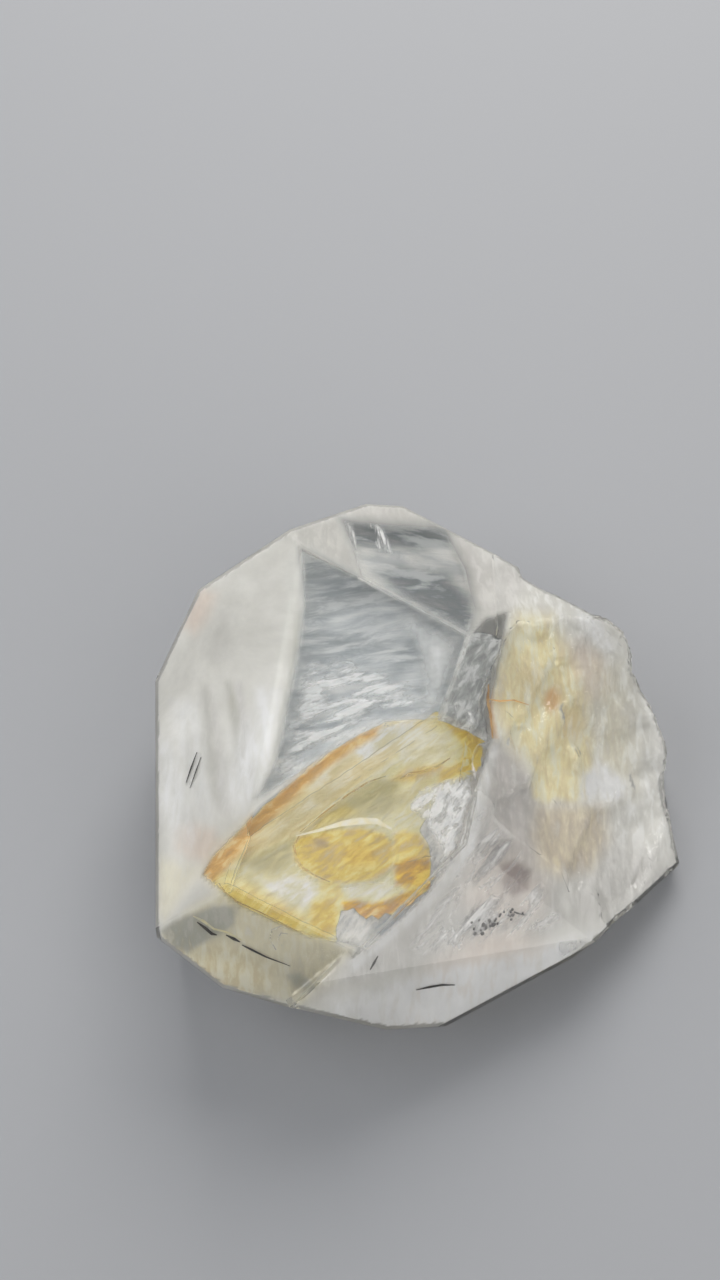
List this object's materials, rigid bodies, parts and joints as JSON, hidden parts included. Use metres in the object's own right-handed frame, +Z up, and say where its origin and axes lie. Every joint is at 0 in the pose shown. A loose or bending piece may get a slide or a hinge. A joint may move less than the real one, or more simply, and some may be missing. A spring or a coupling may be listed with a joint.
{
  "type": "herkimer diamond",
  "caption": "Stubby clear quartz crystal with flat faces, a broken right side and a flat base, a loose mineral specimen that rests on a surface.",
  "frame": {"origin": "centre of the bounding box at the base that the crystal rests on", "axes": "+Z up from the base, -Y towards the viewer who looks down on the top prism face, +X towards the broken side"},
  "size_m": [0.0518, 0.0546, 0.0273],
  "materials": {
    "clear_quartz": "clear natural quartz, slightly milky, with golden iron stain in one healed crack"
  },
  "bodies": {
    "root": {"crystal": "clear_quartz"}
  },
  "joints": []
}
